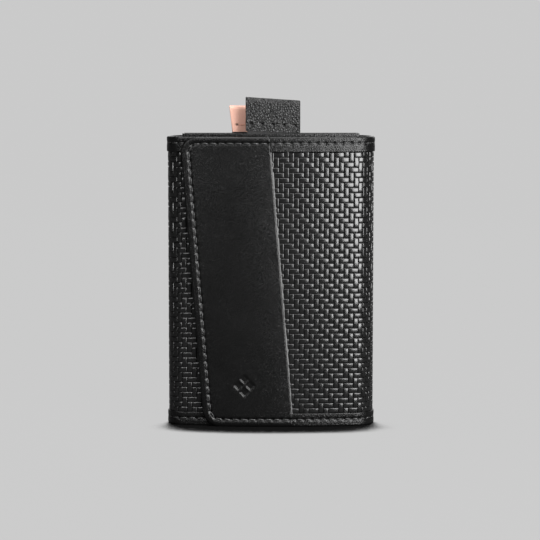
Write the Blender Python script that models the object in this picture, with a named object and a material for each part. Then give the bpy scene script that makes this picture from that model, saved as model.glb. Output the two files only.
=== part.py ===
"""Tri-fold card wallet with two pull tabs, closed and standing on its lower edge.

The frame is metres with +Z up. X runs across the wallet and Y from its front (-Y) to its back (+Y).
The origin is at the middle of the base. The shell wraps the pockets: back panel, right fold, and the
flap that closes over the front; then left fold, and the wing that lies under the flap.
"""

import math

import bmesh
import bpy
from mathutils import Matrix, Vector

# Shell
WIDTH = 0.0712
HEIGHT = 0.099
CROWN_RADIUS = 0.220  # the closed front bulges a little over the pockets
FLAP_FOLD_RADIUS = 0.008  # front fold on the flap's side
WING_FOLD_RADIUS = 0.006  # front fold on the wing's side, which lies lower
TOP_BAND = 0.0052  # height of the band along the top edge
BOTTOM_BAND = 0.0046
BAND_THICKNESS = 0.0008
COVER_RECESS = 0.0003  # the woven cover lies this far below the bands
LINING_THICKNESS = 0.00045
LAYER_GAP = 0.00025  # between the layers of one panel
CLEARANCE = 0.0003  # between pieces that lie side by side

# Flap and wing
FREE_EDGE_INSET = 0.0046  # from the left side to the flap's free edge, at the top
FREE_EDGE_SLANT = 0.0079  # how much further in the edge lies at the bottom
TIP_WIDTH = 0.0310  # smooth panel between the free edge and the slanted seam
TIP_CORNER = 0.0055
WING_REACH = 0.0320  # from the left side to the wing's free edge
MAGNET_DIAMETER = 0.0100
MAGNET_EDGE = 0.0115  # from the flap's free edge to a magnet's middle
MAGNET_END = 0.0200  # from the top or bottom edge to a magnet's middle

# Pockets
CARD_ROOM_WIDTH = 0.0550
CARD_ROOM_DEPTH = 0.00415  # room for the cards of one pocket
SIDE_ROOM = 0.0040  # between a side gusset and the shell's lining
WALL = 0.0005  # pocket panel, divider and gussets
FLOOR_HEIGHT = 0.0015
FLOOR_THICKNESS = 0.0006
POCKET_RISE = 0.0010  # how far the pockets stand above the shell
ROOM_MARGIN = 0.0001

# Pull tabs, their ribbons and lift loops
RIBBON = 0.00025
RIBBON_GAP = 0.00025
TAB_WIDTH = 0.0185
FRONT_TAB_OFFSET = 0.00070
REAR_TAB_OFFSET = -0.00450
FRONT_TAB_HEIGHT = 0.0127
REAR_TAB_HEIGHT = 0.0090
TAB_THICKNESS = 0.0016
RIBBON_LOW = 0.0260  # from the loop's bend to the lower end of the sliding ribbon
LOOP_LAP = 0.0340  # the ribbon overlaps the loop's front leg by this much
LOOP_CORNER = 0.0012
ANCHOR_HEIGHT = 0.0060
ANCHOR_DROP = 0.0020  # from the pocket's edge to the anchor patch

# Facets
FACET_ANGLE = math.radians(7.5)
CROWN_STEP = 0.005
CROWN_STEPS = 12
CORNER_STEPS = 6
TAB_STEPS = 10
DISC_STEPS = 32
SLANT_START = 0.0120  # from the flap's side to its last upright column
SEAM_COLUMNS = 4  # from there to the slanted seam
EDGE_COLUMNS = 8  # from there to the slanted free edge
TIP_COLUMNS = 6

SHELL = BAND_THICKNESS + LAYER_GAP + LINING_THICKNESS
WING_INSET = SHELL + CLEARANCE
PANEL_OUTER = WING_INSET + SHELL + CLEARANCE
PANEL_INNER = PANEL_OUTER + WALL
POCKET_TOP = HEIGHT + POCKET_RISE
RIBBON_LANE = RIBBON + RIBBON_GAP

# Everything between the pocket panel and the back lining, from front to back
POCKET_STACK = (
    ROOM_MARGIN + 2 * CARD_ROOM_DEPTH + WALL + 4 * RIBBON_LANE + 3 * RIBBON_GAP
)


def sagitta(radius, x):
    """How far an arc of this radius falls back at a distance x from its crown."""
    return radius - math.sqrt(radius**2 - x**2)


ROOM_SAG = sagitta(CROWN_RADIUS - PANEL_INNER, CARD_ROOM_WIDTH / 2)
DEPTH = PANEL_INNER + ROOM_SAG + POCKET_STACK + SHELL
CROWN_CENTRE = CROWN_RADIUS - DEPTH / 2

# Places of the pull mechanism from front to back: a front room for the cards, then its loop's rear
# leg, the divider, the rear ribbon, the rear loop's front leg, the rear room and that loop's rear leg.
FRONT_ROOM = -DEPTH / 2 + PANEL_INNER + ROOM_SAG + ROOM_MARGIN
FRONT_LOOP_FRONT = FRONT_ROOM - RIBBON_GAP - RIBBON / 2
FRONT_RIBBON = FRONT_LOOP_FRONT - RIBBON_LANE
FRONT_LOOP_REAR = FRONT_ROOM + CARD_ROOM_DEPTH + RIBBON_GAP + RIBBON / 2
DIVIDER_FRONT = FRONT_LOOP_REAR + RIBBON / 2 + RIBBON_GAP
REAR_RIBBON = DIVIDER_FRONT + WALL + RIBBON_GAP + RIBBON / 2
REAR_LOOP_FRONT = REAR_RIBBON + RIBBON_LANE
REAR_ROOM = REAR_LOOP_FRONT + RIBBON / 2 + RIBBON_GAP
REAR_LOOP_REAR = REAR_ROOM + CARD_ROOM_DEPTH + RIBBON_GAP + RIBBON / 2
LOOP_BOTTOM = FLOOR_HEIGHT + FLOOR_THICKNESS + RIBBON_GAP + RIBBON / 2
ANCHOR_LOW = POCKET_TOP - ANCHOR_DROP - ANCHOR_HEIGHT
LOOP_TOP = ANCHOR_LOW - CLEARANCE
RIBBON_END = LOOP_BOTTOM + LOOP_CORNER + RIBBON_LOW


def crown_y(x, depth):
    """Y of the crowned front at x, this far below the outer face."""
    return CROWN_CENTRE - math.sqrt((CROWN_RADIUS - depth) ** 2 - x**2)


class Wrap:
    """The shell's outline from above on one side, followed from the middle of the back.

    A station is a distance along it: flat back, back fold, front fold, crowned front. side is 1 on
    the right and -1 on the left. inset is how far the crowned front lies below the flap's face.
    """

    def __init__(self, side, fold_radius, inset):
        self.side = side
        self.front_radius = fold_radius
        self.crown_radius = CROWN_RADIUS - inset
        self.front_x = WIDTH / 2 - fold_radius
        reach = self.crown_radius - fold_radius
        self.fold_y = CROWN_CENTRE - math.sqrt(reach**2 - self.front_x**2)
        self.back_radius = DEPTH / 2 - self.fold_y
        self.back_x = WIDTH / 2 - self.back_radius
        self.lean = math.asin(self.front_x / reach)
        self.side_station = self.back_x + self.back_radius * math.pi / 2
        self.crown_station = self.side_station + self.front_radius * (math.pi / 2 - self.lean)
        self.back_split = self.back_x + self.back_radius * math.pi / 4
        self.front_split = self.side_station + self.front_radius * math.pi / 4

    def point(self, station, depth):
        """(x, y) at a station, this far below the outer face."""
        if station <= self.back_x:
            return self.side * station, DEPTH / 2 - depth
        if station <= self.side_station:
            angle = math.pi / 2 - (station - self.back_x) / self.back_radius
            centre, radius = (self.back_x, self.fold_y), self.back_radius
        elif station <= self.crown_station:
            angle = (self.side_station - station) / self.front_radius
            centre, radius = (self.front_x, self.fold_y), self.front_radius
        else:
            turned = (station - self.crown_station) / self.crown_radius
            angle = self.lean - math.pi / 2 - turned
            centre, radius = (0, CROWN_CENTRE), self.crown_radius
        x = centre[0] + (radius - depth) * math.cos(angle)
        return self.side * x, centre[1] + (radius - depth) * math.sin(angle)

    def front_station(self, x):
        """The station on the crowned front at x."""
        angle = math.asin(self.side * x / self.crown_radius)
        return self.crown_station + self.crown_radius * (self.lean - angle)

    def stations(self, start, stop):
        """Stations from start to stop, close together round the folds."""
        far = self.crown_station + 2 * WIDTH
        spans = (
            (0, self.back_x, WIDTH),
            (self.back_x, self.side_station, self.back_radius * FACET_ANGLE),
            (self.side_station, self.crown_station, self.front_radius * FACET_ANGLE),
            (self.crown_station, far, CROWN_STEP),
        )
        found = [start]
        for low, high, step in spans:
            low, high = max(low, start), min(high, stop)
            if high > low:
                count = math.ceil((high - low) / step)
                found += [low + (high - low) * (i + 1) / count for i in range(count)]
        return found

    def back_hinge(self):
        """The line that the back fold turns about when it flattens."""
        reach = self.back_radius * math.pi / 4
        return Vector((self.side * (self.back_x + reach), self.fold_y + reach, 0))

    def front_hinge(self):
        reach = self.front_radius * math.pi / 4
        return Vector((self.side * (self.front_x + reach), self.fold_y - reach, 0))


RIGHT = Wrap(1, FLAP_FOLD_RADIUS, 0)
LEFT = Wrap(-1, WING_FOLD_RADIUS, WING_INSET)


def free_edge(z):
    """X of the flap's free edge at a height."""
    return -WIDTH / 2 + FREE_EDGE_INSET + FREE_EDGE_SLANT * (1 - z / HEIGHT)


def free_station(z):
    """Station of the flap's free edge, with its rounded corners."""
    near = min(z, HEIGHT - z, TIP_CORNER)
    cut = TIP_CORNER - math.sqrt(TIP_CORNER**2 - (TIP_CORNER - near) ** 2)
    return RIGHT.front_station(free_edge(z) + cut)


def seam_station(z, shift):
    """Station of the seam between the flap's cover and its tip panel."""
    return RIGHT.front_station(free_edge(z) + TIP_WIDTH - shift)


def clear_scene():
    for item in list(bpy.data.objects):
        bpy.data.objects.remove(item, do_unlink=True)


def finish(name, colour, roughness, metallic=0.0):
    material = bpy.data.materials.new(name)
    material.use_nodes = True
    shader = material.node_tree.nodes["Principled BSDF"]
    shader.inputs["Base Color"].default_value = (*colour, 1)
    shader.inputs["Roughness"].default_value = roughness
    shader.inputs["Metallic"].default_value = metallic
    return material


def make_body(name, origin, parent=None):
    """An empty on the axis that a group of pieces moves about."""
    empty = bpy.data.objects.new(name, None)
    bpy.context.collection.objects.link(empty)
    empty.empty_display_size = 0.01
    empty["origin"] = origin
    empty.location = origin
    if parent:
        empty.parent = parent
        empty.location = origin - Vector(parent["origin"])
    return empty


def add_piece(name, mesh_builder, material, body):
    """An object of the built mesh, held by its body."""
    bmesh.ops.recalc_face_normals(mesh_builder, faces=mesh_builder.faces)
    shift = Matrix.Translation(-Vector(body["origin"]))
    bmesh.ops.transform(mesh_builder, matrix=shift, verts=mesh_builder.verts)
    mesh = bpy.data.meshes.new(name)
    mesh_builder.to_mesh(mesh)
    mesh_builder.free()
    mesh.materials.append(material)
    mesh.shade_smooth()
    mesh.set_sharp_from_angle(angle=math.radians(30))
    piece = bpy.data.objects.new(name, mesh)
    bpy.context.collection.objects.link(piece)
    piece.parent = body
    return piece


def sheet(name, columns, rows, outer, inner, material, body):
    """A curved sheet between two depths below the shell's face.

    columns is a list of (wrap, station), where a station is a number or a function of the height.
    """
    build = bmesh.new()
    layers = []
    for depth in (outer, inner):
        layer = []
        for wrap, station in columns:
            line = []
            for z in rows:
                place = station(z) if callable(station) else station
                line.append(build.verts.new((*wrap.point(place, depth), z)))
            layer.append(line)
        layers.append(layer)
    last_column, last_row = len(columns) - 1, len(rows) - 1
    for layer in layers:
        for i in range(last_column):
            for j in range(last_row):
                build.faces.new((layer[i][j], layer[i + 1][j], layer[i + 1][j + 1], layer[i][j + 1]))
    first, second = layers
    for j in range(last_row):
        for i in (0, last_column):
            build.faces.new((first[i][j], first[i][j + 1], second[i][j + 1], second[i][j]))
    for i in range(last_column):
        for j in (0, last_row):
            build.faces.new((first[i][j], first[i + 1][j], second[i + 1][j], second[i][j]))
    return add_piece(name, build, material, body)


def prism(name, outline, bottom, top, material, body):
    """An upright solid on an outline of (x, y) points."""
    build = bmesh.new()
    base = build.faces.new([build.verts.new((x, y, bottom)) for x, y in outline])
    raised = bmesh.ops.extrude_face_region(build, geom=[base])["geom"]
    moved = [item for item in raised if isinstance(item, bmesh.types.BMVert)]
    bmesh.ops.translate(build, vec=(0, 0, top - bottom), verts=moved)
    return add_piece(name, build, material, body)


def rectangle(low_x, low_y, high_x, high_y):
    return [(low_x, low_y), (high_x, low_y), (high_x, high_y), (low_x, high_y)]


def side_profile(name, outline, middle, width, material, body):
    """A solid on an outline of (y, z) points, this wide along X."""
    build = bmesh.new()
    left = middle - width / 2
    base = build.faces.new([build.verts.new((left, y, z)) for y, z in outline])
    raised = bmesh.ops.extrude_face_region(build, geom=[base])["geom"]
    moved = [item for item in raised if isinstance(item, bmesh.types.BMVert)]
    bmesh.ops.translate(build, vec=(width, 0, 0), verts=moved)
    return add_piece(name, build, material, body)


def arc(centre, radius, start, stop, steps):
    """Points of an arc in a plane, its ends included."""
    angles = [start + (stop - start) * i / steps for i in range(steps + 1)]
    return [(centre[0] + radius * math.cos(a), centre[1] + radius * math.sin(a)) for a in angles]


def on(wrap, stations):
    return [(wrap, station) for station in stations]


def make_panel(prefix, columns, body, cover_columns=None):
    """The four layers that each panel of the shell is sewn from."""
    cover_columns = cover_columns or columns
    band_top = HEIGHT - TOP_BAND
    heights = (BOTTOM_BAND + CLEARANCE, band_top - CLEARANCE)
    sheet(prefix + "_cover", cover_columns, heights, COVER_RECESS, BAND_THICKNESS, WOVEN, body)
    bottom, top = (0, BOTTOM_BAND), (band_top, HEIGHT)
    sheet(prefix + "_bottom_band", cover_columns, bottom, 0, BAND_THICKNESS, LEATHER, body)
    sheet(prefix + "_top_band", cover_columns, top, 0, BAND_THICKNESS, LEATHER, body)
    under = BAND_THICKNESS + LAYER_GAP
    rows = lining_rows() if cover_columns is not columns else (0, HEIGHT)
    return sheet(prefix + "_lining", columns, rows, under, SHELL, LINING, body)


def lining_rows():
    """Heights that follow the rounded corners of the flap's tip."""
    turns = [math.pi / 2 * i / CORNER_STEPS for i in range(CORNER_STEPS + 1)]
    low = [TIP_CORNER * (1 - math.cos(turn)) for turn in turns]
    return low + [HEIGHT - z for z in reversed(low)]


def make_back(body):
    left = on(LEFT, LEFT.stations(0, LEFT.back_split - CLEARANCE / 2))
    right = on(RIGHT, RIGHT.stations(0, RIGHT.back_split - CLEARANCE / 2))
    make_panel("back", left[:0:-1] + right, body)


def make_fold(prefix, wrap, body):
    """The side of the shell between its two folds."""
    ends = wrap.back_split + CLEARANCE / 2, wrap.front_split - CLEARANCE / 2
    make_panel(prefix, on(wrap, wrap.stations(*ends)), body)


def make_flap(body):
    """The outer flap: its woven part ends at the slanted seam, its tip at the slanted free edge."""
    start = RIGHT.front_split + CLEARANCE / 2
    last = RIGHT.front_station(WIDTH / 2 - SLANT_START)
    upright = RIGHT.stations(start, last)
    seam = lambda z: seam_station(z, -CLEARANCE / 2)
    to_seam = on(RIGHT, upright + spread(lambda z: last, seam, SEAM_COLUMNS)[1:])
    to_edge = on(RIGHT, upright + spread(lambda z: last, free_station, EDGE_COLUMNS)[1:])
    lining = make_panel("flap", to_edge, body, cover_columns=to_seam)
    seam = lambda z: seam_station(z, CLEARANCE / 2)
    tip = on(RIGHT, spread(seam, free_station, TIP_COLUMNS))
    sheet("flap_tip_panel", tip, lining_rows(), 0, BAND_THICKNESS, LEATHER, body)
    add_magnets("flap", RIGHT, lining, body)


def spread(start, stop, count):
    """Columns shared out evenly between two lines, each a station as a function of the height."""

    def column(share):
        return lambda z: start(z) + (stop(z) - start(z)) * share

    return [column(i / count) for i in range(count + 1)]


def make_wing(body):
    stop = LEFT.front_station(-WIDTH / 2 + WING_REACH)
    columns = on(LEFT, LEFT.stations(LEFT.front_split + CLEARANCE / 2, stop))
    lining = make_panel("wing", columns, body)
    add_magnets("wing", LEFT, lining, body)


def add_magnets(prefix, wrap, lining, body):
    """Two discs set in holes in a panel's lining."""
    for name, z in (("lower", MAGNET_END), ("upper", HEIGHT - MAGNET_END)):
        station = wrap.front_station(free_edge(z) + MAGNET_EDGE)
        outer = Vector((*wrap.point(station, BAND_THICKNESS + LAYER_GAP), z))
        inner = Vector((*wrap.point(station, SHELL), z))
        middle = (outer + inner) / 2
        turn = (inner - outer).to_track_quat("Z", "Y").to_matrix().to_4x4()
        place = Matrix.Translation(middle) @ turn
        disc(f"{prefix}_{name}_magnet", place, MAGNET_DIAMETER, LINING_THICKNESS, body)
        hole = MAGNET_DIAMETER + 2 * CLEARANCE
        cutter = disc(f"{prefix}_{name}_magnet_hole", place, hole, 4 * LINING_THICKNESS, body)
        cutter.hide_render = True
        cutter.display_type = "WIRE"
        cut = lining.modifiers.new(f"{name} magnet", "BOOLEAN")
        cut.object = cutter


def disc(name, place, diameter, thickness, body):
    build = bmesh.new()
    bmesh.ops.create_cone(
        build,
        cap_ends=True,
        segments=DISC_STEPS,
        radius1=diameter / 2,
        radius2=diameter / 2,
        depth=thickness,
        matrix=place,
    )
    return add_piece(name, build, METAL, body)


def back_limit(x):
    """How far back a pocket piece may reach at x, clear of the folds' lining."""
    limits = [DEPTH / 2 - SHELL]
    for wrap in (LEFT, RIGHT):
        if x > wrap.back_x:
            radius = wrap.back_radius - SHELL
            limits.append(wrap.fold_y + math.sqrt(radius**2 - (x - wrap.back_x) ** 2))
    return min(limits) - CLEARANCE


def crown_line(half, depth):
    """Points of the crowned front from left to right, this far below the outer face."""
    across = [half * (2 * i / CROWN_STEPS - 1) for i in range(CROWN_STEPS + 1)]
    return [(x, crown_y(x, depth)) for x in across]


def make_pockets(body):
    half = WIDTH / 2 - SHELL - SIDE_ROOM
    front = crown_line(half, PANEL_OUTER) + crown_line(half, PANEL_INNER)[::-1]
    prism("pocket_front_panel", front, FLOOR_HEIGHT, POCKET_TOP, LINING, body)
    inner = half - WALL
    for side, name in ((-1, "left"), (1, "right")):
        ends = sorted((side * inner, side * half))
        low_y = crown_y(inner, PANEL_INNER) + CLEARANCE
        outline = rectangle(ends[0], low_y, ends[1], back_limit(half))
        prism(f"pocket_{name}_gusset", outline, FLOOR_HEIGHT, POCKET_TOP, LEATHER, body)
    room = inner - CLEARANCE
    floor = crown_line(room, PANEL_INNER + CLEARANCE)
    floor += [(room, back_limit(room)), (-room, back_limit(room))]
    floor_top = FLOOR_HEIGHT + FLOOR_THICKNESS
    prism("pocket_floor", floor, FLOOR_HEIGHT, floor_top, LINING, body)
    divider = rectangle(-room, DIVIDER_FRONT, room, DIVIDER_FRONT + WALL)
    prism("pocket_divider", divider, floor_top + CLEARANCE, POCKET_TOP, LINING, body)


def strip(line, thickness):
    """The closed outline of a strap of even thickness along a line of (y, z) points."""
    sides = ([], [])
    for i, here in enumerate(line):
        before = Vector(line[max(i - 1, 0)])
        after = Vector(line[min(i + 1, len(line) - 1)])
        along = (after - before).normalized()
        across = Vector((-along.y, along.x)) * thickness / 2
        sides[0].append(tuple(Vector(here) + across))
        sides[1].append(tuple(Vector(here) - across))
    return sides[0] + sides[1][::-1]


def loop_line(front, rear):
    """Down the front of the cards, under them and up behind them."""
    low = LOOP_BOTTOM + LOOP_CORNER
    first = arc((front + LOOP_CORNER, low), LOOP_CORNER, math.pi, 1.5 * math.pi, CORNER_STEPS)
    second = arc((rear - LOOP_CORNER, low), LOOP_CORNER, 1.5 * math.pi, 2 * math.pi, CORNER_STEPS)
    return [(front, RIBBON_END + LOOP_LAP)] + first + second + [(rear, LOOP_TOP)]


def make_pull(prefix, leather, offset, height, lanes, root, body):
    """A pull tab with its sliding ribbon, and the loop and anchor that stay in the pocket."""
    ribbon, loop_front, loop_rear, tab_front = lanes
    line = [(ribbon, RIBBON_END), (ribbon, POCKET_TOP)]
    side_profile(prefix + "_ribbon", strip(line, RIBBON), offset, TAB_WIDTH, RIBBED, body)
    loop = strip(loop_line(loop_front, loop_rear), RIBBON)
    side_profile(prefix + "_lift_loop", loop, offset, TAB_WIDTH, RIBBED, root)
    patch = [(loop_rear, ANCHOR_LOW), (loop_rear, ANCHOR_LOW + ANCHOR_HEIGHT)]
    side_profile(prefix + "_loop_anchor", strip(patch, RIBBON), offset, TAB_WIDTH, leather, root)
    bottom = POCKET_TOP + CLEARANCE
    radius = TAB_THICKNESS / 2
    fold = arc((tab_front + radius, bottom + height - radius), radius, 0, math.pi, TAB_STEPS)
    outline = [(tab_front, bottom), (tab_front + TAB_THICKNESS, bottom)] + fold
    side_profile(prefix + "_tab", outline, offset, TAB_WIDTH, leather, body)


def make_wallet():
    root = make_body("root", Vector((0, 0, 0)))
    right_fold = make_body("right_fold", RIGHT.back_hinge(), root)
    flap = make_body("flap", RIGHT.front_hinge(), right_fold)
    left_fold = make_body("left_fold", LEFT.back_hinge(), root)
    wing = make_body("wing", LEFT.front_hinge(), left_fold)
    front_tab = make_body("front_pull", Vector((FRONT_TAB_OFFSET, FRONT_RIBBON, POCKET_TOP)), root)
    rear_tab = make_body("rear_pull", Vector((REAR_TAB_OFFSET, REAR_RIBBON, POCKET_TOP)), root)
    make_back(root)
    make_fold("right_fold", RIGHT, right_fold)
    make_flap(flap)
    make_fold("left_fold", LEFT, left_fold)
    make_wing(wing)
    make_pockets(root)
    room_edge = FRONT_ROOM - CLEARANCE / 2 - TAB_THICKNESS
    lanes = (FRONT_RIBBON, FRONT_LOOP_FRONT, FRONT_LOOP_REAR, room_edge)
    make_pull("front", LEATHER, FRONT_TAB_OFFSET, FRONT_TAB_HEIGHT, lanes, root, front_tab)
    room_edge = REAR_ROOM - CLEARANCE / 2 - TAB_THICKNESS
    lanes = (REAR_RIBBON, REAR_LOOP_FRONT, REAR_LOOP_REAR, room_edge)
    make_pull("rear", ROSE, REAR_TAB_OFFSET, REAR_TAB_HEIGHT, lanes, root, rear_tab)


clear_scene()
WOVEN = finish("woven_leather", (0.035, 0.035, 0.037), 0.40)
LEATHER = finish("black_leather", (0.020, 0.020, 0.021), 0.50)
LINING = finish("black_lining", (0.015, 0.015, 0.016), 0.75)
ROSE = finish("rose_leather", (0.72, 0.37, 0.27), 0.55)
RIBBED = finish("black_ribbon", (0.020, 0.020, 0.022), 0.60)
METAL = finish("magnet_steel", (0.55, 0.55, 0.56), 0.35, 1.0)
make_wallet()
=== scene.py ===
"""The looks of a closed tri-fold card wallet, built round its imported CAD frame."""

import math
from collections import namedtuple

import bpy
import numpy as np
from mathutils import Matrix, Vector, noise


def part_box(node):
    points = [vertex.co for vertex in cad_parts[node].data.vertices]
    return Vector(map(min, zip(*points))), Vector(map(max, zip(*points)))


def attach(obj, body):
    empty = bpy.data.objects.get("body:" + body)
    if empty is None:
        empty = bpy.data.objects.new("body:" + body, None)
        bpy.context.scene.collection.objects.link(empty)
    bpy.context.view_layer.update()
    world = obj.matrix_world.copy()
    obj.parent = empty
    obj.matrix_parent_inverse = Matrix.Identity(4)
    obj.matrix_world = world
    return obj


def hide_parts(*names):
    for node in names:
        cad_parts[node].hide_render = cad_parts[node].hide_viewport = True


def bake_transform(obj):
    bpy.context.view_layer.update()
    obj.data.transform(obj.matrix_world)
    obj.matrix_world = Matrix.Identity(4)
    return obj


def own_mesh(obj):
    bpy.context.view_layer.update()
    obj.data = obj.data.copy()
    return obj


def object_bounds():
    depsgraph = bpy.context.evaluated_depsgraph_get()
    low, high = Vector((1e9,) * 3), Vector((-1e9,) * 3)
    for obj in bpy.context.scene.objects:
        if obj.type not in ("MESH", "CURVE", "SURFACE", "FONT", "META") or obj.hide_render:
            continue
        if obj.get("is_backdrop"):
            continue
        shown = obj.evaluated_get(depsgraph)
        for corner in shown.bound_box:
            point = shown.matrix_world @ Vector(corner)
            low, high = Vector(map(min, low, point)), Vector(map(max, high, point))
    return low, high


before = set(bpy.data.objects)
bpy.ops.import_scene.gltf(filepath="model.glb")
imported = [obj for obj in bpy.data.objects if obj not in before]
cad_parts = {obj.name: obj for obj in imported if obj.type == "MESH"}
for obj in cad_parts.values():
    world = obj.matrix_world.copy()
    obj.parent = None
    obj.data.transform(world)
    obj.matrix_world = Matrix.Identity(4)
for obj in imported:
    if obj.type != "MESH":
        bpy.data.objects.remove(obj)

low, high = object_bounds()

# Sizes of the shell, read from the frame
WIDTH = high.x - low.x
DEPTH = high.y - low.y
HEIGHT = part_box("back_lining")[1].z
TOP_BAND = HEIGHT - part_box("back_top_band")[0].z
BOTTOM_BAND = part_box("back_bottom_band")[1].z
POCKET_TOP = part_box("pocket_divider")[1].z
FLOOR_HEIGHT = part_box("pocket_floor")[0].z
WING_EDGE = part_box("wing_cover")[1].x
POCKET_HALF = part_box("pocket_front_panel")[1].x

# The same shape values as the CAD model's
CROWN_RADIUS = 0.220
FLAP_FOLD_RADIUS = 0.008
WING_FOLD_RADIUS = 0.006
SHELL = 0.0015
CLEARANCE = 0.0003
WALL = 0.0005
FREE_EDGE_INSET = 0.0046
FREE_EDGE_SLANT = 0.0079
TIP_WIDTH = 0.0310
TIP_CORNER = 0.0055
WING_INSET = SHELL + CLEARANCE
PANEL_OUTER = WING_INSET + SHELL + CLEARANCE
CROWN_CENTRE = CROWN_RADIUS - DEPTH / 2

# Surface detail. A depth is measured inward from the shell's outer face.
WEAVE_COLUMNS = 24  # cells from the middle of the back to the middle of a side
WEAVE_ROWS = 52
WEAVE_TOP = 0.00042  # depth of the highest floats
WEAVE_RELIEF = 0.00030
WEAVE_BACK = 0.00085
WEAVE_FRACTIONS = (0, 0.1, 0.2, 0.8, 0.9)  # of a cell, where its mesh has a line
LINING_FRONT = 0.00095
LINING_BACK = 0.00142
GRID = 0.00036  # step of a leather mesh
FINE_GRID = 0.00022
COARSE_GRID = 0.0012
LINING_GRID = 0.0015
EDGE_STEPS = (0.00004, 0.00012, 0.00024, 0.0004, 0.0006, 0.00085)  # closer steps beside an edge
NUDGE = 2e-5  # steps shorter than this are left out
STITCH_PITCH = 0.00285
THREAD = 0.00021  # radius
THREAD_SINK = 0.00022  # how deep a stitch's ends lie
THREAD_ARCH = 0.00032  # how far its middle rises
SEWN_DEPTH = 0.00012
HOLE_DEPTH = 0.00048
HOLE_WIDTH = 0.00042
TOP_STITCH = 0.0022  # from the top edge
BOTTOM_STITCH = 0.0025
EDGE_STITCH = 0.0028  # from the flap's free edge
EDGE_ROUND = 0.0006
BAND_GROOVE = 0.00010  # along a band's stitches
BAND_LAP = 0.0004  # how far a band reaches under the tip
COVER_LAP = 0.0012  # the same for a woven cover
LINING_MARGIN = 0.0040  # from the flap's free edge to its lining
TIP_ROUND = 0.00068
TIP_GROOVE = 0.00018
TIP_CREASE = 0.00008
TIP_STEP = 0.00034  # how far the tip's seam is pared down
TIP_EDGE_STRIPS = 5  # strips of its mesh along the seam that show the cut edge
EMBLEM_HEIGHT = 0.0142
EMBLEM_INSET = 0.0152  # from the flap's free edge
EMBLEM_HALF = (0.0040, 0.0044)
EMBLEM_DEPTH = 0.00030
TAB_LEATHER = 0.00068
RIBBON = 0.00025
RIBBON_REACH = 0.0035  # how far the ribbon runs up inside the tab
TAB_STITCH = 0.0024  # from the tab's lower edge
TAB_STITCHES = 4
FOLD_HEIGHT = 1.35  # of a tab's folded top, as a share of its half thickness

# Studio
STAGE_GLOW = 0.59
REFLECTED_GLOW = 0.13  # of the paper in reflections, kept dark so that the leather stays black
WORLD_GLOW = 0.05
SOFTBOXES = {  # azimuth and elevation in degrees, distance, size, power in watts
    "key_right": (37, 15, 0.38, (0.27, 0.30), 3.8),
    "top_soft": (0, 80, 0.7, (0.5, 0.7), 7),
    "left_soft": (-24, 22, 0.8, (0.12, 0.40), 1.6),
    "rear_soft": (172, 22, 0.8, (0.8, 0.5), 1.8),
}
CAMERA_DISTANCE = 0.72  # from the wallet's front
CAMERA_HEIGHT = 0.132
AIM_X, AIM_HEIGHT = -0.0003, 0.0540
FRAME_WIDTH = 0.1820  # what the picture spans at the wallet's front
SENSOR = 36

# One woven zone of the shell, and the fold that its leather bends over
Zone = namedtuple("Zone", "wrap start stop bodies fold")


class Wrap:
    """The shell's outline from above on one side, followed from the middle of the back."""

    def __init__(self, side, fold_radius, inset):
        self.side = side
        self.front_radius = fold_radius
        self.crown_radius = CROWN_RADIUS - inset
        self.front_x = WIDTH / 2 - fold_radius
        reach = self.crown_radius - fold_radius
        self.fold_y = CROWN_CENTRE - math.sqrt(reach**2 - self.front_x**2)
        self.back_radius = DEPTH / 2 - self.fold_y
        self.back_x = WIDTH / 2 - self.back_radius
        self.lean = math.asin(self.front_x / reach)
        self.side_station = self.back_x + self.back_radius * math.pi / 2
        self.crown_station = self.side_station + self.front_radius * (math.pi / 2 - self.lean)

    def place(self, station, height, depth):
        """Points at stations and heights, at depths below the outer face."""
        back_turn = math.pi / 2 - (station - self.back_x) / self.back_radius
        front_turn = (self.side_station - station) / self.front_radius
        crown_turn = (self.crown_station - station) / self.crown_radius + self.lean - math.pi / 2
        on_back = station < self.back_x
        on_side = station < self.side_station
        on_fold = station < self.crown_station
        turn = np.where(on_side, back_turn, np.where(on_fold, front_turn, crown_turn))
        turn = np.where(on_back, math.pi / 2, turn)
        radius = np.where(on_fold, self.front_radius, self.crown_radius)
        radius = np.where(on_side, self.back_radius, radius) - depth
        middle_x = np.where(on_fold, self.front_x, 0)
        middle_x = np.where(on_side, np.minimum(station, self.back_x), middle_x)
        middle_y = np.where(on_fold, self.fold_y, CROWN_CENTRE)
        x = self.side * (middle_x + radius * np.cos(turn))
        return np.stack([x, middle_y + radius * np.sin(turn), height], -1)

    def front_station(self, x):
        angle = np.arcsin(self.side * np.asarray(x) / self.crown_radius)
        return self.crown_station + self.crown_radius * (self.lean - angle)

    def back_fold(self):
        """Start and end of the back fold's bend, which ends a wall short of the front fold's."""
        start = Vector((self.side * self.back_x, DEPTH / 2, 0))
        end = Vector((self.side * WIDTH / 2, self.fold_y, 0))
        return tuple(start), tuple(end + (start - end).normalized() * SHELL)

    def front_fold(self):
        start = Vector((self.side * WIDTH / 2, self.fold_y, 0))
        end = Vector((self.side * self.front_x, self.fold_y - self.front_radius, 0))
        return tuple(start + (end - start).normalized() * SHELL), tuple(end)


class Crown:
    """An upright wall that follows the crowned front. A station is its distance along the arc."""

    side = 1

    def __init__(self, inset):
        self.radius = CROWN_RADIUS - inset

    def place(self, station, height, depth):
        angle = station / self.radius
        x = (self.radius - depth) * np.sin(angle)
        y = CROWN_CENTRE - (self.radius - depth) * np.cos(angle)
        return np.stack([x, y, height], -1)


class Flat:
    """A flat upright wall. A station runs along it and depth goes into it."""

    side = 1

    def __init__(self, origin, along, into):
        self.origin, self.along, self.into = (np.array(v, float) for v in (origin, along, into))

    def place(self, station, height, depth):
        points = self.origin + station[..., None] * self.along + depth[..., None] * self.into
        return points + height[..., None] * np.array((0, 0, 1))


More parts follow.
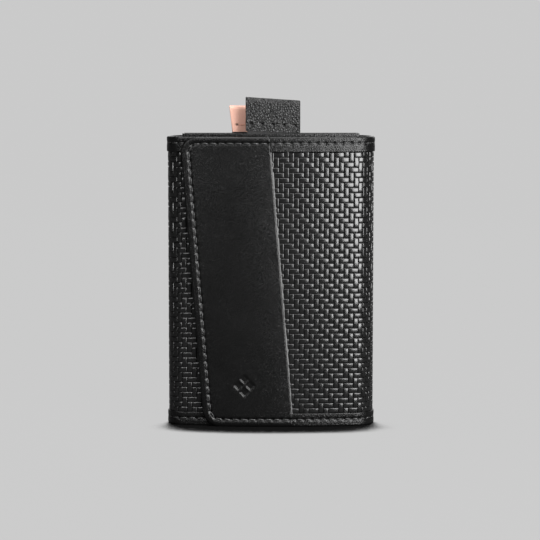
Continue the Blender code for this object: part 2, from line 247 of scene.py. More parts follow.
class Strap:
    """A strap that follows a line of (y, z) points. A station is across it, a height along it."""

    side = 1

    def __init__(self, middle, line, skew=0.0, droop=0.0, tilt=0.0):
        self.middle, self.skew, self.droop, self.tilt = middle, skew, droop, tilt
        self.line = np.array(line, float)
        steps = np.linalg.norm(np.diff(self.line, axis=0), axis=1)
        self.along = np.concatenate([[0], np.cumsum(steps)])
        self.length = self.along[-1]
        self.base = self.line[:, 1].min()

    def on_line(self, along):
        return np.array([np.interp(along, self.along, values) for values in self.line.T])

    def place(self, station, height, depth):
        y, z = self.on_line(height)
        dy, dz = self.on_line(height + NUDGE) - self.on_line(height - NUDGE)
        size = np.hypot(dy, dz)
        y, z = y + depth * dz / size, z - depth * dy / size
        rise = z - self.base
        x = self.middle + station + self.skew * rise
        return np.stack([x, y, z - station * (self.tilt + self.droop * rise)], -1)


RIGHT = Wrap(1, FLAP_FOLD_RADIUS, 0)
LEFT = Wrap(-1, WING_FOLD_RADIUS, WING_INSET)


def free_edge(z):
    """X of the flap's free edge at a height, its corners not counted."""
    return -WIDTH / 2 + FREE_EDGE_INSET + FREE_EDGE_SLANT * (1 - z / HEIGHT)


def rounded(distance, radius):
    """How far a surface falls away near an edge that is rounded to this radius."""
    near = np.clip(distance, 0, radius)
    return radius - np.sqrt(radius**2 - (radius - near) ** 2)


def bump(distance, width):
    return np.exp(-((distance / width) ** 2))


def ripple(station, height, size, seed):
    """Smooth unevenness between -1 and 1 over a grid."""
    points = np.stack([station / size, height / size], -1).reshape(-1, 2)
    values = [noise.noise(Vector((a, b, seed))) for a, b in points]
    return np.array(values).reshape(np.shape(station))


def ladder(start, stop, step, fine=()):
    """Stations from start to stop, both kept exactly, with closer ones near the ends."""
    count = max(1, math.ceil((stop - start) / step))
    even = [start + (stop - start) * i / count for i in range(1, count)]
    near = [start + d for d in fine] + [stop - d for d in fine]
    inside = [v for v in even + near if start + NUDGE < v < stop - NUDGE]
    inner = np.unique(np.round(inside, 7))
    keep = np.diff(inner, prepend=start) > NUDGE
    return np.concatenate([[start], inner[keep], [stop]])


def build_mesh(name, points, faces, material, **layers):
    """A closed mesh facing out. layers are extra values kept at its points for the materials."""
    corners = points[faces]
    fans = np.concatenate([corners[:, [0, 1, 2]], corners[:, [0, 2, 3]]])
    volume = np.einsum("ij,ij->i", fans[:, 0], np.cross(fans[:, 1], fans[:, 2])).sum()
    if volume < 0:
        faces = faces[:, ::-1]
    mesh = bpy.data.meshes.new(name)
    mesh.vertices.add(len(points))
    mesh.vertices.foreach_set("co", points.astype(np.float32).ravel())
    mesh.loops.add(faces.size)
    mesh.loops.foreach_set("vertex_index", faces.astype(np.int32).ravel())
    mesh.polygons.add(len(faces))
    mesh.polygons.foreach_set("loop_start", np.arange(0, faces.size, 4, dtype=np.int32))
    mesh.update(calc_edges=True)
    for key, values in layers.items():
        values = np.asarray(values, np.float32)
        kind = "FLOAT" if values.ndim == 1 else "FLOAT_VECTOR"
        layer = mesh.attributes.new(key, kind, "POINT")
        layer.data.foreach_set("value" if values.ndim == 1 else "vector", values.ravel())
    mesh.materials.append(material)
    mesh.validate()
    mesh.shade_smooth()
    mesh.set_sharp_from_angle(angle=math.radians(50))
    piece = bpy.data.objects.new(name, mesh)
    bpy.context.scene.collection.objects.link(piece)
    return piece


def slab(name, shape, station, height, outer, inner, material, **layers):
    """A closed sheet on a grid of stations and heights, between two depths."""
    station, height, outer, inner = np.broadcast_arrays(station, height, outer, inner)
    rows, columns = station.shape
    points, flat = [], []
    for depth in (outer, inner):
        points.append(shape.place(station, height, depth).reshape(-1, 3))
        flat.append(np.stack([shape.side * station, height, depth], -1).reshape(-1, 3))
    index = np.arange(rows * columns).reshape(rows, columns)
    front = np.stack([index[:-1, :-1], index[1:, :-1], index[1:, 1:], index[:-1, 1:]], -1)
    front = front.reshape(-1, 4)
    behind = front[:, ::-1] + rows * columns
    ring = np.concatenate([index[:-1, 0], index[-1, :-1], index[:0:-1, -1], index[0, :0:-1]])
    after = np.roll(ring, -1)
    sides = np.stack([after, ring, ring + rows * columns, after + rows * columns], -1)
    faces = np.concatenate([front, behind, sides])
    extra = {}
    for key, values in layers.items():
        values = np.broadcast_to(values, station.shape + np.shape(values)[2:])
        values = values.reshape(rows * columns, *values.shape[2:])
        extra[key] = np.concatenate([values, values])
    points, flat = np.concatenate(points), np.concatenate(flat)
    return build_mesh(name, points, faces, material, flat=flat, **extra)


def stitches(name, shape, holes, material, depth):
    """A row of stitches, each a thread from one hole to the next. holes are (station, height)."""
    rounds, shares = 8, (0, 0.08, 0.2, 0.35, 0.5, 0.65, 0.8, 0.92, 1)
    cap_quads = ([0, 1, 2, 3], [0, 3, 4, 7], [4, 5, 6, 7])
    turn = np.arange(rounds) * 2 * math.pi / rounds
    across, lift = np.cos(turn), np.sin(turn)
    flat, faces = [], []
    for number, (start, stop) in enumerate(zip(holes, holes[1:])):
        start, stop = np.array(start), np.array(stop)
        along = stop - start
        side = np.array((-along[1], along[0])) / np.linalg.norm(along)
        lean = side * THREAD * 0.35
        for share in shares:
            rise = math.sin(math.pi * share) ** 0.5 if 0 < share < 1 else 0
            radius = THREAD * (0.55 + 0.45 * rise)
            middle = start + along * (0.10 + 0.80 * share) + lean * (2 * share - 1)
            deep = depth + THREAD_SINK - rise * THREAD_ARCH
            ring = middle + np.outer(across * radius, side)
            flat.append(np.column_stack([ring, deep - lift * radius * 0.8]))
        grid = np.arange(rounds * len(shares)).reshape(len(shares), rounds)
        grid = grid + number * grid.size
        after = np.roll(grid, -1, axis=1)
        walls = np.stack([grid[:-1], after[:-1], after[1:], grid[1:]], -1).reshape(-1, 4)
        caps = [end[quad] for quad in cap_quads for end in (grid[0], grid[-1])]
        faces.append(np.concatenate([walls, np.array(caps)]))
    flat = np.concatenate(flat)
    points = shape.place(flat[:, 0], flat[:, 1], flat[:, 2])
    return build_mesh(name, points, np.concatenate(faces), material, flat=flat)


# Materials


def new_material(name):
    material = bpy.data.materials.new(name)
    material.use_nodes = True
    tree = material.node_tree
    return material, tree, tree.nodes["Principled BSDF"]


def node(tree, kind, inputs=(), **settings):
    made = tree.nodes.new(kind)
    for key, value in settings.items():
        setattr(made, key, value)
    for key, value in dict(inputs).items():
        if isinstance(value, bpy.types.NodeSocket):
            tree.links.new(value, made.inputs[key])
        else:
            made.inputs[key].default_value = value
    return made


def scaled(tree, source, scale):
    """The flat coordinates, multiplied along each axis."""
    made = node(tree, "ShaderNodeMapping", {"Vector": source, "Scale": scale})
    return made.outputs["Vector"]


def layered_bump(tree, layers):
    """Bump nodes in a chain. layers are (height socket, strength, distance)."""
    normal = None
    for height, strength, distance in layers:
        inputs = {"Height": height, "Strength": strength, "Distance": distance}
        if normal:
            inputs["Normal"] = normal
        normal = node(tree, "ShaderNodeBump", inputs).outputs["Normal"]
    return normal


def ramp(tree, value, stops):
    made = node(tree, "ShaderNodeValToRGB", {"Fac": value})
    elements = made.color_ramp.elements
    for element, (place, colour) in zip(elements, stops):
        element.position, element.color = place, (*colour, 1)
    for place, colour in stops[2:]:
        elements.new(place).color = (*colour, 1)
    return made.outputs["Color"]


def attribute(tree, name, output):
    return node(tree, "ShaderNodeAttribute", attribute_name=name).outputs[output]


def surface_place(tree, carried):
    """Coordinates along the sheet, or a CAD node's own where its mesh keeps none."""
    if carried:
        return node(tree, "ShaderNodeTexCoord").outputs["Object"]
    return attribute(tree, "flat", "Vector")


def noise_value(tree, place, detail, scale=1.0, distortion=0.0):
    inputs = {"Vector": place, "Scale": scale, "Detail": detail, "Distortion": distortion}
    return node(tree, "ShaderNodeTexNoise", inputs).outputs["Fac"]


def mixed(tree, factor, *colours):
    """A colour between two others, each of which is a socket or three numbers."""
    inputs = {"Factor": factor}
    for key, colour in zip("AB", colours):
        linked = isinstance(colour, bpy.types.NodeSocket)
        inputs[key] = colour if linked else (*colour, 1)
    return node(tree, "ShaderNodeMix", inputs, data_type="RGBA").outputs["Result"]


def math_node(tree, operation, first, second=0.0):
    inputs = {0: first, 1: second}
    return node(tree, "ShaderNodeMath", inputs, operation=operation).outputs[0]


def remap(tree, value, low_out, high_out):
    inputs = {"Value": value, "To Min": low_out, "To Max": high_out}
    return node(tree, "ShaderNodeMapRange", inputs).outputs["Result"]


def dress(tree, shader, colour, normal, roughness):
    """Links a shader's colour and normal, and its roughness if that is a socket."""
    tree.links.new(colour, shader.inputs["Base Color"])
    tree.links.new(normal, shader.inputs["Normal"])
    if isinstance(roughness, bpy.types.NodeSocket):
        tree.links.new(roughness, shader.inputs["Roughness"])
    else:
        shader.inputs["Roughness"].default_value = roughness


def grey(value):
    return (value,) * 3


# Colour painted into needle holes and the gaps of the weave as shade
PAINTED_SHADE_COLOUR = grey(0.0005)


def leather(
    name, dark, light, roughness, grain, grain_depth, wrinkle_depth, specular=0.5, carried=False
):
    """Grained leather: pebbles of a size, finer pores, and soft wrinkles under them."""
    material, tree, shader = new_material(name)
    flat = surface_place(tree, carried)
    place = scaled(tree, flat, (1 / grain,) * 3)
    inputs = {"Vector": place, "Scale": 0.8, "Detail": 2.0}
    warp = node(tree, "ShaderNodeTexNoise", inputs).outputs["Color"]
    inputs = {0: warp, 1: (0.9,) * 3, 2: place}
    bent = node(tree, "ShaderNodeVectorMath", inputs, operation="MULTIPLY_ADD").outputs["Vector"]
    inputs = {"Vector": bent, "Scale": 1.0}
    pebbles = node(tree, "ShaderNodeTexVoronoi", inputs, feature="DISTANCE_TO_EDGE")
    rise = ramp(tree, pebbles.outputs["Distance"], [(0.0, grey(0)), (0.45, grey(1))])
    pores = noise_value(tree, place, 3.0, scale=4.0)
    wrinkles = noise_value(tree, scaled(tree, flat, (260, 420, 260)), 4.0, distortion=1.2)
    layers = [(wrinkles, 0.6, wrinkle_depth), (rise, 0.8, grain_depth)]
    normal = layered_bump(tree, layers + [(pores, 0.16, grain_depth * 0.5)])
    patches = noise_value(tree, scaled(tree, flat, (90,) * 3), 5.0)
    tone = mixed(tree, patches, dark, light)
    # Painted shade in the needle holes
    colour = mixed(tree, attribute(tree, "pit", "Fac"), tone, PAINTED_SHADE_COLOUR)
    dress(tree, shader, colour, normal, remap(tree, rise, roughness + 0.12, roughness - 0.03))
    shader.inputs["Specular IOR Level"].default_value = specular
    return material


def woven(name):
    """Embossed twill leather: each float has its own tone and fine streaks along it."""
    material, tree, shader = new_material(name)
    fibre = attribute(tree, "fibre", "Vector")
    parts = node(tree, "ShaderNodeSeparateXYZ", {"Vector": fibre})
    streaks = noise_value(tree, scaled(tree, fibre, (500, 7000, 40)), 3.0)
    grain = noise_value(tree, scaled(tree, fibre, (2200, 2600, 40)), 2.0)
    normal = layered_bump(tree, [(streaks, 0.35, 0.00002), (grain, 0.3, 0.00002)])
    tone = ramp(tree, parts.outputs["Z"], [(0.0, grey(0.0015)), (1.0, grey(0.0040))])
    lit = mixed(tree, streaks, tone, grey(0.006))
    # Painted shade in the gaps between floats
    colour = mixed(tree, attribute(tree, "pit", "Fac"), lit, PAINTED_SHADE_COLOUR)
    dress(tree, shader, colour, normal, remap(tree, streaks, 0.12, 0.25))
    return material


def textile(name, dark, light, warp, weft, depth, roughness, carried=False):
    """Fine plain weave, for the lining and the ribbons."""
    material, tree, shader = new_material(name)
    flat = surface_place(tree, carried)
    parts = node(tree, "ShaderNodeSeparateXYZ", {"Vector": flat})
    waves = []
    for axis, pitch in (("X", warp), ("Z" if carried else "Y", weft)):
        turn = math_node(tree, "MULTIPLY", parts.outputs[axis], 2 * math.pi / pitch)
        waves.append(math_node(tree, "SINE", turn))
    threads = math_node(tree, "MULTIPLY", *waves)
    fuzz = noise_value(tree, scaled(tree, flat, (3000,) * 3), 2.0)
    normal = layered_bump(tree, [(threads, 0.7, depth), (fuzz, 0.3, depth)])
    dress(tree, shader, mixed(tree, fuzz, dark, light), normal, roughness)
    shader.inputs["Sheen Weight"].default_value = 0.15
    return material


def thread(name, dark, light, roughness):
    """Twisted thread."""
    material, tree, shader = new_material(name)
    inputs = {"Vector": attribute(tree, "flat", "Vector"), "Scale": 700.0, "Distortion": 1.0}
    twist = node(tree, "ShaderNodeTexWave", inputs, bands_direction="DIAGONAL").outputs["Fac"]
    normal = layered_bump(tree, [(twist, 0.6, 0.00006)])
    dress(tree, shader, mixed(tree, twist, dark, light), normal, roughness)
    return material


def steel(name):
    """Bare steel with a little wear."""
    material, tree, shader = new_material(name)
    wear = noise_value(tree, surface_place(tree, carried=True), 4.0, scale=900.0)
    tone = ramp(tree, wear, [(0.3, (0.42, 0.42, 0.43)), (0.7, (0.62, 0.62, 0.63))])
    tree.links.new(tone, shader.inputs["Base Color"])
    tree.links.new(remap(tree, wear, 0.22, 0.40), shader.inputs["Roughness"])
    shader.inputs["Metallic"].default_value = 1.0
    return material


def make_materials():
    """Every material by its key. The carried ones are for CAD nodes."""
    rose = {
        "dark": (0.565, 0.31, 0.24), "light": (0.69, 0.39, 0.30), "roughness": 0.50,
        "grain": 0.00050, "grain_depth": 0.00004, "wrinkle_depth": 0.00005,
    }
    cloth = {
        "dark": grey(0.006), "light": grey(0.012), "roughness": 0.80,
        "warp": 0.0005, "weft": 0.0005, "depth": 0.00004,
    }
    tape = {
        "dark": grey(0.006), "light": grey(0.014), "roughness": 0.70,
        "warp": 0.0004, "weft": 0.0008, "depth": 0.00006,
    }
    return {
        "woven": woven("woven_leather"),
        "smooth": leather(
            "smooth_leather", grey(0.0012), grey(0.003), roughness=0.18, specular=0.24,
            grain=0.00045, grain_depth=0.00004, wrinkle_depth=0.00008,
        ),
        "grained": leather(
            "grained_leather", grey(0.0015), grey(0.004), roughness=0.20, specular=0.24,
            grain=0.00062, grain_depth=0.00006, wrinkle_depth=0.00008,
        ),
        "tab": leather(
            "tab_leather", grey(0.002), grey(0.005), roughness=0.22, specular=0.26,
            grain=0.00075, grain_depth=0.00015, wrinkle_depth=0.00008,
        ),
        "rose": leather("rose_leather", **rose),
        "lining": textile("black_lining", **cloth),
        "ribbon": textile("black_ribbon", **tape),
        "thread": thread("black_thread", grey(0.006), grey(0.020), roughness=0.38),
        "rose_thread": thread(
            "rose_thread", (0.42, 0.16, 0.10), (0.60, 0.28, 0.20), roughness=0.55
        ),
        "edge": leather(
            "cut_edge", grey(0.05), grey(0.11), roughness=0.60,
            grain=0.00020, grain_depth=0.00003, wrinkle_depth=0.00002,
        ),
        "steel": steel("magnet_steel"),
        "loop": textile("loop_tape", **tape, carried=True),
        "floor": textile("floor_lining", **cloth, carried=True),
        "patch": leather(
            "black_patch", grey(0.002), grey(0.005), roughness=0.36,
            grain=0.00062, grain_depth=0.0001, wrinkle_depth=0.0001, carried=True,
        ),
        "rose_patch": leather("rose_patch", **rose, carried=True),
    }


# Shell


def bend(piece, zone):
    """Bakes a piece of the shell's placement into its mesh. The ends of its fold's bend are found
    but not used.
    """
    start, end = getattr(zone.wrap, zone.fold)()
    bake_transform(piece)


def weave_cells(wrap, station, height):
    """Where each point lies in its float: (relief, along, across, the float's own tone)."""
    pitch_s = wrap.side_station / WEAVE_COLUMNS
    pitch_z = (HEIGHT - TOP_BAND - BOTTOM_BAND) / WEAVE_ROWS
    u, v = station / pitch_s + 1e-6, (height - BOTTOM_BAND) / pitch_z + 1e-6
    column, row = np.floor(u), np.floor(v)
    u, v = u - column, v - row
    if wrap.side < 0:
        column, u = -column - 1, 1 - u
    phase = np.mod(column - row, 4)
    upright = phase < 2
    along = np.where(upright, (1 - phase + v) / 2, (phase - 2 + u) / 2)
    across = np.where(upright, u, v)
    upright_number = column * 57 + np.floor((row - column) / 4) * 131
    level_number = row * 71 + np.floor((column - row) / 4) * 37
    number = np.where(upright, upright_number, level_number)
    ends = 1 - np.abs(2 * along - 1) ** 20
    sides = 1 - np.abs(2 * across - 1) ** 12
    arch = 1 - 0.14 * (2 * along - 1) ** 2
    tilt = 1 - 0.06 * (2 * across - 1) ** 2
    relief = np.clip(ends, 0, 1) * np.clip(sides, 0, 1) * arch * tilt
    tone = np.mod(np.sin(number * 12.9898) * 43758.5453, 1)
    return relief, along, across, tone


def weave_lines(start, stop, pitch, origin=0.0):
    """Mesh lines over the whole cells that cover a stretch."""
    first, last = round((start - origin) / pitch), math.ceil((stop - origin) / pitch - 1e-6)
    lines = [origin + (i + f) * pitch for i in range(first, last) for f in WEAVE_FRACTIONS]
    return np.array(lines + [origin + last * pitch])


def make_weave(name, zone, stop, material, limit=None):
    """A woven cover. Past a limit, a station at each height, its mesh is squeezed to nothing."""
    wrap, start = zone.wrap, zone.start
    station = weave_lines(start, stop, wrap.side_station / WEAVE_COLUMNS)[:, None]
    pitch_z = (HEIGHT - TOP_BAND - BOTTOM_BAND) / WEAVE_ROWS
    height = weave_lines(BOTTOM_BAND, HEIGHT - TOP_BAND, pitch_z, BOTTOM_BAND)[None, :]
    station, height = np.broadcast_arrays(station, height)
    inside = np.clip(station, start + 1e-6, None)
    relief, along, across, tone = weave_cells(wrap, inside, height)
    if limit:
        last = limit(height)
        station = np.where(station > last, last + (station - last) * 0.02, station)
    outer = WEAVE_TOP + WEAVE_RELIEF * (1 - relief)
    # Painted shade, darkest in the low gaps between floats
    pit = np.clip(1 - relief * 2.2, 0, 1) * 0.75
    fibre = np.stack([along * 0.0035, across * 0.00175 + tone * 0.01, tone], -1)
    layers = {"fibre": fibre, "pit": pit}
    piece = slab(name, wrap, station, height, outer, WEAVE_BACK, material, **layers)
    return piece


def row_holes(start, stop, height):
    """Evenly spaced needle holes along a band."""
    count = round((stop - start) / STITCH_PITCH)
    return [(start + (stop - start) * (i + 0.5) / count, height) for i in range(count)]


def pitted(station, height, holes, depth=HOLE_DEPTH):
    """(depth to add, painted shade) round needle holes."""
    total = np.zeros(np.shape(station))
    for hole_station, hole_height in holes:
        near = np.abs(station - hole_station) < 4 * HOLE_WIDTH
        if near.any():
            away = np.hypot(station - hole_station, (height - hole_height) * 1.2)
            total = np.maximum(total, bump(away, HOLE_WIDTH))
    return total * depth, total


def make_band(name, zone, stop, ends, at_top, material):
    """A leather band sewn over the shell's top or bottom edge, and its needle holes."""
    low_z, high_z = ends
    station = ladder(zone.start, stop, GRID)[:, None]
    height = ladder(low_z, high_z, GRID, EDGE_STEPS)[None, :]
    station, height = np.broadcast_arrays(station, height)
    to_edge = high_z - height if at_top else height - low_z
    to_weave = height - low_z if at_top else high_z - height
    line = TOP_STITCH if at_top else BOTTOM_STITCH
    holes = row_holes(zone.start, stop, high_z - line if at_top else low_z + line)
    pits, shade = pitted(station, height, holes)
    turned = rounded(to_edge, EDGE_ROUND)
    uneven = ripple(station * zone.wrap.side, height, 0.004, 3.0) * 0.00006 + 0.00006
    outer = turned + rounded(to_weave, EDGE_ROUND / 2) + pits + uneven
    outer = outer + BAND_GROOVE * bump(to_edge - line, 0.0005)
    inner = SHELL - turned - NUDGE
    # Its needle holes get painted shade
    piece = slab(name, zone.wrap, station, height, outer, inner, material, pit=shade)
    return piece, holes


def make_lining(name, zone, stop, material):
    """A lining between the bands. Its stop is a station at each height."""
    lap = 0.0003
    share = np.linspace(0, 1, 150)[:, None]
    height = ladder(BOTTOM_BAND - lap, HEIGHT - TOP_BAND + lap, LINING_GRID)[None, :]
    station, height = np.broadcast_arrays(zone.start + (stop(height) - zone.start) * share, height)
    uneven = ripple(station * zone.wrap.side, height, 0.012, 8.0) * 0.00004
    back = LINING_BACK + uneven
    piece = slab(name, zone.wrap, station, height, LINING_FRONT, back, material, pit=0.0)
    return piece


# Flap tip


def tip_edges(station, height):
    """Distances from the free edge and from the rounded outline."""
    across = RIGHT.front_station(free_edge(height)) - station
    upright = np.minimum(height, HEIGHT - height)
    nearest = np.minimum(across, upright)
    corner = TIP_CORNER - np.hypot(TIP_CORNER - across, TIP_CORNER - upright)
    in_corner = (across < TIP_CORNER) & (upright < TIP_CORNER)
    return across, np.where(in_corner, corner, nearest)


def tip_holes():
    """Needle holes along the top, the free edge and the bottom of the tip, round its corners."""
    points = []
    for at_top, line in ((True, TOP_STITCH), (False, BOTTOM_STITCH)):
        turned = []
        for angle in np.linspace(0, math.pi / 2, 12):
            rise = TIP_CORNER - (TIP_CORNER - line) * math.cos(angle)
            z = HEIGHT - rise if at_top else rise
            inward = TIP_CORNER - (TIP_CORNER - EDGE_STITCH) * math.sin(angle)
            turned.append((RIGHT.front_station(free_edge(z) + inward), z))
        z = HEIGHT - line if at_top else line
        turned.insert(0, (RIGHT.front_station(free_edge(z) + TIP_WIDTH - COVER_LAP), z))
        points += turned if at_top else turned[::-1]
    points = np.array(points, float)
    steps = np.linalg.norm(np.diff(points, axis=0), axis=1)
    along = np.concatenate([[0], np.cumsum(steps)])
    wanted = np.linspace(0, along[-1], round(along[-1] / STITCH_PITCH) + 1)
    stations = np.interp(wanted, along, points[:, 0])
    return list(zip(stations, np.interp(wanted, along, points[:, 1])))


def from_stitch_line(across, height):
    """Distance from the tip's stitch line, inward positive."""
    line = np.where(height > HEIGHT / 2, TOP_STITCH, BOTTOM_STITCH)
    upright = np.minimum(height, HEIGHT - height)
    side, end = TIP_CORNER - EDGE_STITCH, TIP_CORNER - line
    turned = 1 - np.hypot((TIP_CORNER - across) / side, (TIP_CORNER - upright) / end)
    corner = (across < TIP_CORNER) & (upright < TIP_CORNER)
    straight = np.minimum(across - EDGE_STITCH, upright - line)
    return np.where(corner, turned * (side + end) / 2, straight)


def emblem(station, height):
    """A pressed lozenge of four smaller lozenges."""
    middle = RIGHT.front_station(free_edge(EMBLEM_HEIGHT) + EMBLEM_INSET)
    half_width, half_height = EMBLEM_HALF
    a, b = (station - middle) / half_width, (height - EMBLEM_HEIGHT) / half_height
    total = np.zeros(np.shape(station))
    for da, db in ((0.5, 0), (-0.5, 0), (0, 0.5), (0, -0.5)):
        size = np.abs(a - da) + np.abs(b - db)
        total = np.maximum(total, np.clip((0.44 - size) / 0.10, 0, 1))
    return total * total * (3 - 2 * total)


def make_tip(material, edge_material, thread_material):
    """The flap's smooth end, from the pared seam over the weave to the free edge."""
    height = ladder(0, HEIGHT, GRID, EDGE_STEPS)[None, :]
    to_end = np.minimum(height, HEIGHT - height)
    seam = RIGHT.front_station(free_edge(height) + TIP_WIDTH)
    free = RIGHT.front_station(free_edge(height) + rounded(to_end, TIP_CORNER))
    share = ladder(0, TIP_WIDTH, GRID, EDGE_STEPS)[:, None] / TIP_WIDTH
    station, height = np.broadcast_arrays(seam + (free - seam) * share, height)
    across, outline = tip_edges(station, height)
    holes = tip_holes()
    pits, shade = pitted(station, height, holes)
    inward = from_stitch_line(across, height)
    groove = TIP_GROOVE * bump(inward, 0.00042)
    crease = TIP_CREASE * bump(inward + 0.0011, 0.0006)
    turned = rounded(outline, TIP_ROUND)
    step = TIP_STEP * np.clip(1 - (TIP_WIDTH - across) / 0.0007, 0, 1)
    pressed = emblem(station, height)
    uneven = ripple(station, height, 0.011, 5.0) * 0.00007 + 0.00007
    lift = ripple(station, height, 0.0035, 9.0) * 0.00002 + 0.00008
    outer = turned + groove - crease + pits + step + uneven + lift + EMBLEM_DEPTH * pressed
    margin = np.clip((inward - 0.0010) / 0.0005, 0, 1)
    inner = SHELL - turned * 0.9 - margin * 0.0005
    # Painted shade in the needle holes; the pressed emblem is darkened by a quarter
    pit = np.maximum(shade * 0.85, pressed * 0.25)
    piece = slab("tip_leather", RIGHT, station, height, outer, inner, material, pit=pit)
    piece.data.materials.append(edge_material)
    strip = height.shape[1] - 1
    for polygon in piece.data.polygons[: strip * TIP_EDGE_STRIPS]:
        polygon.material_index = 1
    row = stitches("tip_stitching", RIGHT, holes, thread_material, 0.00026)
    for made in (piece, row):
        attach(made, "flap")
    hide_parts("flap_tip_panel")


def tip_line(inset):
    """A line along the flap's slant, as a station at each height. Insets are from the free edge."""
    return lambda z: RIGHT.front_station(free_edge(z) + inset)


def shell_nodes(*bodies):
    parts = ("cover", "lining", "top_band", "bottom_band")
    return [f"{body}_{part}" for body in bodies for part in parts]


def make_zone(name, zone, materials):
    """A woven zone's cover, bands, stitches and lining. Gives back the cover."""
    to_tip = zone.stop is None
    under_tip = tip_line(TIP_WIDTH - COVER_LAP) if to_tip else None
    cover_stop = float(under_tip(HEIGHT)) if to_tip else zone.stop
    lining_stop = tip_line(LINING_MARGIN) if to_tip else lambda z: zone.stop
    pieces = [make_weave(name + "_weave", zone, cover_stop, materials["woven"], under_tip)]
    for band, ends in (("bottom", (0, BOTTOM_BAND)), ("top", (HEIGHT - TOP_BAND, HEIGHT))):
        at_top = band == "top"
        line = HEIGHT - TOP_STITCH if at_top else BOTTOM_STITCH
        stop = float(tip_line(TIP_WIDTH - BAND_LAP)(line)) if to_tip else zone.stop
        title = f"{name}_{band}"
        binding, holes = make_band(
            title + "_binding", zone, stop, ends, at_top, materials["grained"]
        )
        row = stitches(title + "_stitching", zone.wrap, holes, materials["thread"], SEWN_DEPTH)
        pieces += [binding, row]
    pieces.append(make_lining(name + "_inside", zone, lining_stop, materials["lining"]))
    for piece in pieces:
        bend(piece, zone)
    return pieces[0]


def make_shell(materials):
    """The four woven zones. The flap's has no stop of its own, because it ends under the tip."""
    wing_stop = float(LEFT.front_station(WING_EDGE))
    right, left = RIGHT.side_station, LEFT.side_station
    zones = {
        "back_right": Zone(RIGHT, 0, right, ("root", "right_fold"), "back_fold"),
        "flap": Zone(RIGHT, right, None, ("right_fold", "flap"), "front_fold"),
        "back_left": Zone(LEFT, 0, left, ("root", "left_fold"), "back_fold"),
        "wing": Zone(LEFT, left, wing_stop, ("left_fold", "wing"), "front_fold"),
    }
    covers = {name: make_zone(name, zone, materials) for name, zone in zones.items()}
    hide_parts(*shell_nodes("back", "right_fold"))
    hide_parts(*shell_nodes("flap"))
    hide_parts(*shell_nodes("left_fold"))
    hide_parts(*shell_nodes("wing"))


# Pockets and pull tabs


def wall(name, shape, width, ends, thickness, node_name, material, slot="lining"):
    """A pocket wall with a rounded top edge."""
    station = ladder(-width / 2, width / 2, COARSE_GRID, EDGE_STEPS[::2])[:, None]
    height = ladder(*ends, COARSE_GRID, EDGE_STEPS)[None, :]
    station, height = np.broadcast_arrays(station, height)
    edge = np.minimum(ends[1] - height, width / 2 - np.abs(station))
    turned = rounded(edge, thickness * 0.45)
    uneven = ripple(station, height, 0.009, len(name)) * 0.00004 * np.clip(edge / 0.002, 0, 1)
    outer, inner = turned + uneven, thickness - turned
    piece = slab(name, shape, station, height, outer, inner, material, pit=0.0)
    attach(piece, "root")
    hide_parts(node_name)


def make_pockets(materials):
    front = Crown(PANEL_OUTER)
    width = 2 * front.radius * math.asin(POCKET_HALF / front.radius)
    ends = (FLOOR_HEIGHT, POCKET_TOP)
    wall("pocket_front", front, width, ends, WALL, "pocket_front_panel", materials["grained"])
    low_corner, high_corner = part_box("pocket_divider")
    shape = Flat((0, low_corner.y, 0), (1, 0, 0), (0, 1, 0))
    ends = (low_corner.z, high_corner.z)
    width = 2 * high_corner.x
    wall("pocket_middle", shape, width, ends, WALL, "pocket_divider", materials["grained"])
    for side, name in ((-1, "left"), (1, "right")):
        node_name = f"pocket_{name}_gusset"
        low_corner, high_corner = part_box(node_name)
        middle, size = (low_corner + high_corner) / 2, high_corner - low_corner
        outer_x = high_corner.x if side > 0 else low_corner.x
        shape = Flat((outer_x, middle.y, 0), (0, 1, 0), (-side, 0, 0))
        ends = (low_corner.z, high_corner.z)
        leather_look = materials["smooth"], "smooth_leather"
        wall(f"pocket_{name}_side", shape, size.y, ends, size.x, node_name, *leather_look)


def strap(name, shape, width, thickness, material, body, holes=(), step=GRID):
    """A strap with rounded edges along the line of its shape."""
    station = ladder(-width / 2, width / 2, step, EDGE_STEPS[:4])[:, None]
    height = ladder(0, shape.length, step, EDGE_STEPS[:3])[None, :]
    station, height = np.broadcast_arrays(station, height)
    edge = width / 2 - np.abs(station)
    turned = rounded(edge, thickness * 0.42)
    pits, shade = pitted(station, height, holes, thickness * 0.7)
    uneven = ripple(station, height, 0.0030, len(name)) * thickness * 0.06
    uneven = uneven * np.clip(edge / 0.001, 0, 1)
    outer, inner = turned + pits + uneven, thickness - turned
    # Its needle holes get painted shade
    piece = slab(name, shape, station, height, outer, inner, material, pit=shade)
    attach(piece, body)
    return piece


def loop_line(front, rear, bottom, top, bulge, steps=16):
    """Up the front of a folded tab, over its rounded top and down its back."""
    middle, half = (front + rear) / 2, (rear - front) / 2
    wide = half + bulge
    tall = FOLD_HEIGHT * wide
    centre = top - tall
    swell = [(t, half + bulge * (t * t * (3 - 2 * t))) for t in np.linspace(0, 1, steps)]
    line = [(middle - w, bottom + (centre - bottom) * t) for t, w in swell]
    turns = np.linspace(0, math.pi, steps)[1:-1]
    line += [(middle - wide * math.cos(a), centre + tall * math.sin(a)) for a in turns]
    return line + [(middle + w, bottom + (centre - bottom) * t) for t, w in reversed(swell)]


